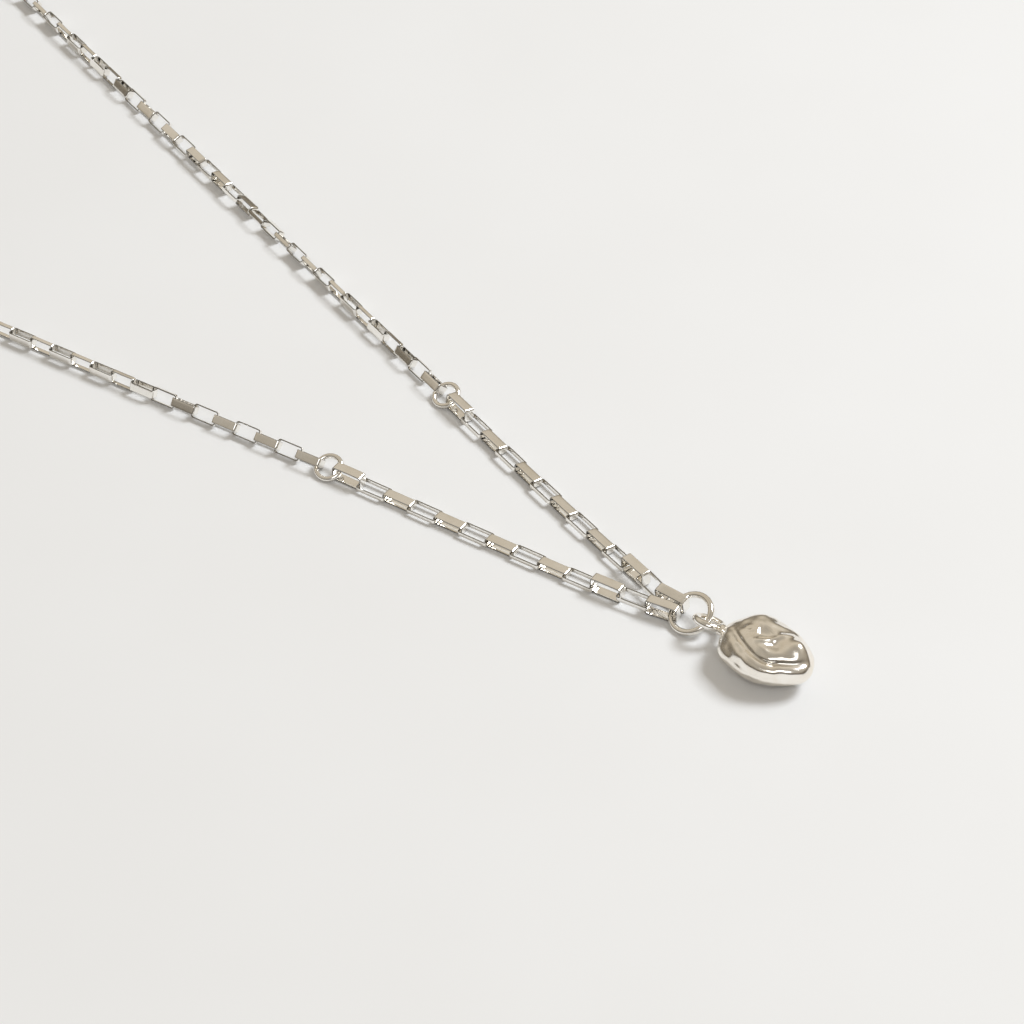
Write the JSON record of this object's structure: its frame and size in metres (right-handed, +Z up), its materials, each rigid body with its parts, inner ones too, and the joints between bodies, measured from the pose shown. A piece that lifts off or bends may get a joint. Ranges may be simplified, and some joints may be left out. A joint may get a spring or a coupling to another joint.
{
  "type": "pendant necklace",
  "caption": "Silver-coloured necklace of flat-strip box links in two sizes, with a cast nugget pendant on a round ring and a bolt ring clasp.",
  "frame": {"origin": "on the surface that the necklace lies on, under the middle of its bounding box", "axes": "+Z up from the surface, +Y from the pendant towards the clasp, +X to the wearer's left as laid face up, to the right when seen from above with the pendant nearest"},
  "size_m": [0.0668, 0.2257, 0.0048],
  "materials": {
    "polished_strip": "bright polished sterling silver strip, fine drawing lines along each link",
    "polished_wire": "bright polished sterling silver round wire",
    "cast_silver": "bright polished cast sterling silver, soft hammered hollows and ridges",
    "spring_wire": "fine drawn steel wire"
  },
  "bodies": {
    "pendant": {"pendant_nugget": "cast_silver", "pendant_bail": "polished_wire"},
    "pendant_ring": {"pendant_ring": "polished_wire"},
    "left_link_01": {"left_link_01": "polished_strip"},
    "left_link_02": {"left_link_02": "polished_strip"},
    "left_link_03": {"left_link_03": "polished_strip"},
    "left_link_04": {"left_link_04": "polished_strip"},
    "left_link_05": {"left_link_05": "polished_strip"},
    "left_link_06": {"left_link_06": "polished_strip"},
    "left_link_07": {"left_link_07": "polished_strip"},
    "left_link_08": {"left_link_08": "polished_strip"},
    "left_link_09": {"left_link_09": "polished_strip"},
    "left_link_10": {"left_link_10": "polished_strip"},
    "left_link_11": {"left_link_11": "polished_strip"},
    "left_link_12": {"left_link_12": "polished_strip"},
    "left_link_13": {"left_link_13": "polished_strip"},
    "left_join_ring": {"left_join_ring": "polished_wire"},
    "left_chain_01": {"left_chain_01": "polished_strip"},
    "left_chain_02": {"left_chain_02": "polished_strip"},
    "left_chain_03": {"left_chain_03": "polished_strip"},
    "left_chain_04": {"left_chain_04": "polished_strip"},
    "left_chain_05": {"left_chain_05": "polished_strip"},
    "left_chain_06": {"left_chain_06": "polished_strip"},
    "left_chain_07": {"left_chain_07": "polished_strip"},
    "left_chain_08": {"left_chain_08": "polished_strip"},
    "left_chain_09": {"left_chain_09": "polished_strip"},
    "left_chain_10": {"left_chain_10": "polished_strip"},
    "right_link_01": {"right_link_01": "polished_strip"},
    "right_link_02": {"right_link_02": "polished_strip"},
    "right_link_03": {"right_link_03": "polished_strip"},
    "right_link_04": {"right_link_04": "polished_strip"},
    "right_link_05": {"right_link_05": "polished_strip"},
    "right_link_06": {"right_link_06": "polished_strip"},
    "right_link_07": {"right_link_07": "polished_strip"},
    "right_link_08": {"right_link_08": "polished_strip"},
    "right_link_09": {"right_link_09": "polished_strip"},
    "right_link_10": {"right_link_10": "polished_strip"},
    "right_link_11": {"right_link_11": "polished_strip"},
    "right_link_12": {"right_link_12": "polished_strip"},
    "right_link_13": {"right_link_13": "polished_strip"},
    "right_join_ring": {"right_join_ring": "polished_wire"},
    "right_chain_01": {"right_chain_01": "polished_strip"},
    "right_chain_02": {"right_chain_02": "polished_strip"},
    "right_chain_03": {"right_chain_03": "polished_strip"},
    "right_chain_04": {"right_chain_04": "polished_strip"},
    "right_chain_05": {"right_chain_05": "polished_strip"},
    "right_chain_06": {"right_chain_06": "polished_strip"},
    "right_chain_07": {"right_chain_07": "polished_strip"},
    "right_chain_08": {"right_chain_08": "polished_strip"},
    "right_chain_09": {"right_chain_09": "polished_strip"},
    "right_chain_10": {"right_chain_10": "polished_strip"},
    "clasp_jump_ring": {"clasp_jump_ring": "polished_wire"},
    "clasp": {"clasp_body": "polished_wire", "clasp_tab": "polished_wire", "clasp_spring": "spring_wire"},
    "clasp_bolt": {"clasp_bolt": "polished_wire"},
    "end_ring": {"end_ring": "polished_wire"}
  },
  "joints": [
    {"name": "ring_swing", "type": "hinge", "parent": "pendant", "child": "pendant_ring", "pos_m": [0.00055, -0.1002, 0.00152], "axis": [0.886, 0.0035, 0.4636], "range_deg": [-25, 25]},
    {"name": "left_link_01_swing", "type": "hinge", "parent": "pendant_ring", "child": "left_link_01", "pos_m": [-0.00028, -0.09622, 0.00093], "axis": [-0.9563, -0.2924, 0], "range_deg": [-12, 20]},
    {"name": "left_link_02_sway", "type": "hinge", "parent": "left_link_01", "child": "left_link_02", "pos_m": [-0.001, -0.09373, 0.00093], "axis": [0, 0, 1], "range_deg": [-4.68, 11.32]},
    {"name": "left_link_03_nod", "type": "hinge", "parent": "left_link_02", "child": "left_link_03", "pos_m": [-0.00176, -0.09062, 0.00093], "axis": [-0.9779, -0.2089, 0], "range_deg": [-8, 8]},
    {"name": "left_link_04_sway", "type": "hinge", "parent": "left_link_03", "child": "left_link_04", "pos_m": [-0.00242, -0.08749, 0.00071], "axis": [0, 0, 1], "range_deg": [-7.2, 8.8]},
    {"name": "left_link_05_nod", "type": "hinge", "parent": "left_link_04", "child": "left_link_05", "pos_m": [-0.00305, -0.08435, 0.0005], "axis": [-0.982, -0.1886, 0], "range_deg": [-8, 8]},
    {"name": "left_link_06_sway", "type": "hinge", "parent": "left_link_05", "child": "left_link_06", "pos_m": [-0.00365, -0.08121, 0.0005], "axis": [0, 0, 1], "range_deg": [-7.81, 8.19]},
    {"name": "left_link_07_nod", "type": "hinge", "parent": "left_link_06", "child": "left_link_07", "pos_m": [-0.00425, -0.07806, 0.0005], "axis": [-0.983, -0.1838, 0], "range_deg": [-8, 8]},
    {"name": "left_link_08_sway", "type": "hinge", "parent": "left_link_07", "child": "left_link_08", "pos_m": [-0.00483, -0.07492, 0.0005], "axis": [0, 0, 1], "range_deg": [-7.95, 8.05]},
    {"name": "left_link_09_nod", "type": "hinge", "parent": "left_link_08", "child": "left_link_09", "pos_m": [-0.00542, -0.07177, 0.0005], "axis": [-0.9832, -0.1826, 0], "range_deg": [-8, 8]},
    {"name": "left_link_10_sway", "type": "hinge", "parent": "left_link_09", "child": "left_link_10", "pos_m": [-0.006, -0.06862, 0.0005], "axis": [0, 0, 1], "range_deg": [-7.99, 8.01]},
    {"name": "left_link_11_nod", "type": "hinge", "parent": "left_link_10", "child": "left_link_11", "pos_m": [-0.00659, -0.06548, 0.0005], "axis": [-0.9832, -0.1823, 0], "range_deg": [-8, 8]},
    {"name": "left_link_12_sway", "type": "hinge", "parent": "left_link_11", "child": "left_link_12", "pos_m": [-0.00717, -0.06233, 0.0005], "axis": [0, 0, 1], "range_deg": [-8, 8]},
    {"name": "left_link_13_nod", "type": "hinge", "parent": "left_link_12", "child": "left_link_13", "pos_m": [-0.00775, -0.05918, 0.00068], "axis": [-0.9833, -0.1823, 0], "range_deg": [-8, 8]},
    {"name": "left_join_ring_swing", "type": "hinge", "parent": "left_link_13", "child": "left_join_ring", "pos_m": [-0.00826, -0.05643, 0.00086], "axis": [-0.8911, -0.1652, -0.4226], "range_deg": [-8, 8]},
    {"name": "left_chain_01_swing", "type": "hinge", "parent": "left_join_ring", "child": "left_chain_01", "pos_m": [-0.00877, -0.05373, 0.00086], "axis": [-0.8881, -0.1807, -0.4226], "range_deg": [-12, 12]},
    {"name": "left_chain_02_sway", "type": "hinge", "parent": "left_chain_01", "child": "left_chain_02", "pos_m": [-0.01195, -0.03821, 0.00092], "axis": [-0.792, -0.1611, 0.5889], "range_deg": [-8, 8]},
    {"name": "left_chain_03_nod", "type": "hinge", "parent": "left_chain_02", "child": "left_chain_03", "pos_m": [-0.01518, -0.02234, 0.00092], "axis": [0, 0, 1], "range_deg": [-8, 8]},
    {"name": "left_chain_04_sway", "type": "hinge", "parent": "left_chain_03", "child": "left_chain_04", "pos_m": [-0.01841, -0.00646, 0.00092], "axis": [-0.9799, -0.1994, 0], "range_deg": [-8, 8]},
    {"name": "left_chain_05_nod", "type": "hinge", "parent": "left_chain_04", "child": "left_chain_05", "pos_m": [-0.02164, 0.00941, 0.00092], "axis": [-0.0137, -0.0028, 0.9999], "range_deg": [-8, 8]},
    {"name": "left_chain_06_sway", "type": "hinge", "parent": "left_chain_05", "child": "left_chain_06", "pos_m": [-0.02487, 0.02529, 0.00092], "axis": [-0.8465, -0.1722, -0.5037], "range_deg": [-8, 8]},
    {"name": "left_chain_07_nod", "type": "hinge", "parent": "left_chain_06", "child": "left_chain_07", "pos_m": [-0.0281, 0.04116, 0.00092], "axis": [-0.9372, -0.1907, 0.292], "range_deg": [-8, 8]},
    {"name": "left_chain_08_sway", "type": "hinge", "parent": "left_chain_07", "child": "left_chain_08", "pos_m": [-0.03133, 0.05704, 0.00092], "axis": [-0.1145, -0.0192, 0.9932], "range_deg": [-5, 5]},
    {"name": "left_chain_09_nod", "type": "hinge", "parent": "left_chain_08", "child": "left_chain_09", "pos_m": [-0.03259, 0.07316, 0.00092], "axis": [-0.7064, 0.0308, -0.7071], "range_deg": [-5, 5]},
    {"name": "left_chain_10_sway", "type": "hinge", "parent": "left_chain_09", "child": "left_chain_10", "pos_m": [-0.03048, 0.08919, 0.00092], "axis": [-0.9616, 0.2487, 0.1161], "range_deg": [-5, 5]},
    {"name": "right_link_01_swing", "type": "hinge", "parent": "pendant_ring", "child": "right_link_01", "pos_m": [0.00127, -0.09601, 0.00126], "axis": [-0.9774, -0.0907, -0.1908], "range_deg": [-10, 16]},
    {"name": "right_link_02_sway", "type": "hinge", "parent": "right_link_01", "child": "right_link_02", "pos_m": [0.00092, -0.09366, 0.0012], "axis": [-0.1104, 0.0249, 0.9936], "range_deg": [-3, 3]},
    {"name": "right_link_03_nod", "type": "hinge", "parent": "right_link_02", "child": "right_link_03", "pos_m": [0.00155, -0.09081, 0.00106], "axis": [0.9831, -0.1822, 0.0175], "range_deg": [-8, 8]},
    {"name": "right_link_04_sway", "type": "hinge", "parent": "right_link_03", "child": "right_link_04", "pos_m": [0.00209, -0.08794, 0.00077], "axis": [0.0858, -0.0151, 0.9962], "range_deg": [-8.52, 7.48]},
    {"name": "right_link_05_nod", "type": "hinge", "parent": "right_link_04", "child": "right_link_05", "pos_m": [0.00261, -0.08498, 0.00056], "axis": [0.9739, -0.1792, -0.1392], "range_deg": [-8, 8]},
    {"name": "right_link_06_sway", "type": "hinge", "parent": "right_link_05", "child": "right_link_06", "pos_m": [0.00317, -0.08191, 0.00057], "axis": [0.1367, -0.026, 0.9903], "range_deg": [-7.65, 8.35]},
    {"name": "right_link_07_nod", "type": "hinge", "parent": "right_link_06", "child": "right_link_07", "pos_m": [0.00377, -0.07877, 0.00057], "axis": [0.9719, -0.1897, -0.1392], "range_deg": [-8, 8]},
    {"name": "right_link_08_sway", "type": "hinge", "parent": "right_link_07", "child": "right_link_08", "pos_m": [0.00438, -0.07562, 0.00057], "axis": [0.1365, -0.0272, 0.9903], "range_deg": [-7.79, 8.21]},
    {"name": "right_link_09_nod", "type": "hinge", "parent": "right_link_08", "child": "right_link_09", "pos_m": [0.00501, -0.07249, 0.00057], "axis": [0.9707, -0.1961, -0.1392], "range_deg": [-8, 8]},
    {"name": "right_link_10_sway", "type": "hinge", "parent": "right_link_09", "child": "right_link_10", "pos_m": [0.00564, -0.06935, 0.00057], "axis": [0.1364, -0.0279, 0.9903], "range_deg": [-7.87, 8.13]},
    {"name": "right_link_11_nod", "type": "hinge", "parent": "right_link_10", "child": "right_link_11", "pos_m": [0.00628, -0.06621, 0.00057], "axis": [0.9699, -0.1999, -0.1392], "range_deg": [-8, 8]},
    {"name": "right_link_12_sway", "type": "hinge", "parent": "right_link_11", "child": "right_link_12", "pos_m": [0.00693, -0.06308, 0.00057], "axis": [0.1363, -0.0283, 0.9903], "range_deg": [-7.92, 8.08]},
    {"name": "right_link_13_nod", "type": "hinge", "parent": "right_link_12", "child": "right_link_13", "pos_m": [0.00758, -0.05995, 0.00075], "axis": [0.9694, -0.2023, -0.1392], "range_deg": [-8, 8]},
    {"name": "right_join_ring_swing", "type": "hinge", "parent": "right_link_13", "child": "right_join_ring", "pos_m": [0.00815, -0.05721, 0.00086], "axis": [-0.8872, 0.1851, -0.4226], "range_deg": [-8, 8]},
    {"name": "right_chain_01_swing", "type": "hinge", "parent": "right_join_ring", "child": "right_chain_01", "pos_m": [0.00871, -0.05451, 0.00086], "axis": [-0.8875, 0.1838, -0.4226], "range_deg": [-12, 12]},
    {"name": "right_chain_02_sway", "type": "hinge", "parent": "right_chain_01", "child": "right_chain_02", "pos_m": [0.01192, -0.03901, 0.00092], "axis": [-0.9792, 0.2028, -0.0016], "range_deg": [-8, 8]},
    {"name": "right_chain_03_nod", "type": "hinge", "parent": "right_chain_02", "child": "right_chain_03", "pos_m": [0.01521, -0.02314, 0.00092], "axis": [0.7422, -0.1537, -0.6523], "range_deg": [-8, 8]},
    {"name": "right_chain_04_sway", "type": "hinge", "parent": "right_chain_03", "child": "right_chain_04", "pos_m": [0.01849, -0.00728, 0.00092], "axis": [-0.1443, 0.0299, 0.9891], "range_deg": [-8, 8]},
    {"name": "right_chain_05_nod", "type": "hinge", "parent": "right_chain_04", "child": "right_chain_05", "pos_m": [0.02178, 0.00858, 0.00092], "axis": [-0.5238, 0.1085, -0.8449], "range_deg": [-8, 8]},
    {"name": "right_chain_06_sway", "type": "hinge", "parent": "right_chain_05", "child": "right_chain_06", "pos_m": [0.02506, 0.02445, 0.00092], "axis": [-0.9372, 0.1941, -0.2899], "range_deg": [-8, 8]},
    {"name": "right_chain_07_nod", "type": "hinge", "parent": "right_chain_06", "child": "right_chain_07", "pos_m": [0.02835, 0.04031, 0.00092], "axis": [0.8949, -0.1853, -0.4061], "range_deg": [-8, 8]},
    {"name": "right_chain_08_sway", "type": "hinge", "parent": "right_chain_07", "child": "right_chain_08", "pos_m": [0.03163, 0.05617, 0.00092], "axis": [-0.4209, 0.0677, 0.9046], "range_deg": [-5, 5]},
    {"name": "right_chain_09_nod", "type": "hinge", "parent": "right_chain_08", "child": "right_chain_09", "pos_m": [0.03241, 0.07231, 0.00092], "axis": [-0.267, -0.029, -0.9633], "range_deg": [-5, 5]},
    {"name": "right_chain_10_sway", "type": "hinge", "parent": "right_chain_09", "child": "right_chain_10", "pos_m": [0.02889, 0.08807, 0.00092], "axis": [-0.9303, -0.3669, 0], "range_deg": [-5, 5]},
    {"name": "clasp_jump_ring_swing", "type": "hinge", "parent": "left_chain_10", "child": "clasp_jump_ring", "pos_m": [-0.02521, 0.10415, 0.00072], "axis": [-0.91, 0.4147, 0], "range_deg": [-15, 15]},
    {"name": "clasp_swing", "type": "hinge", "parent": "clasp_jump_ring", "child": "clasp", "pos_m": [-0.02403, 0.10674, 0.00072], "axis": [-0.91, 0.4147, 0], "range_deg": [-35, 35]},
    {"name": "clasp_bolt_slide", "type": "hinge", "parent": "clasp", "child": "clasp_bolt", "pos_m": [-0.02257, 0.10995, 0.00077], "axis": [0, 0, 1], "range_deg": [-42, 0], "stiffness_Nm_per_rad": 0.002, "springref_deg": 28.65, "deforming": ["clasp_spring"]},
    {"name": "end_ring_swing", "type": "hinge", "parent": "right_chain_10", "child": "end_ring", "pos_m": [0.02151, 0.10209, 0.00055], "axis": [-0.8261, -0.5635, 0], "range_deg": [-15, 15]}
  ]
}
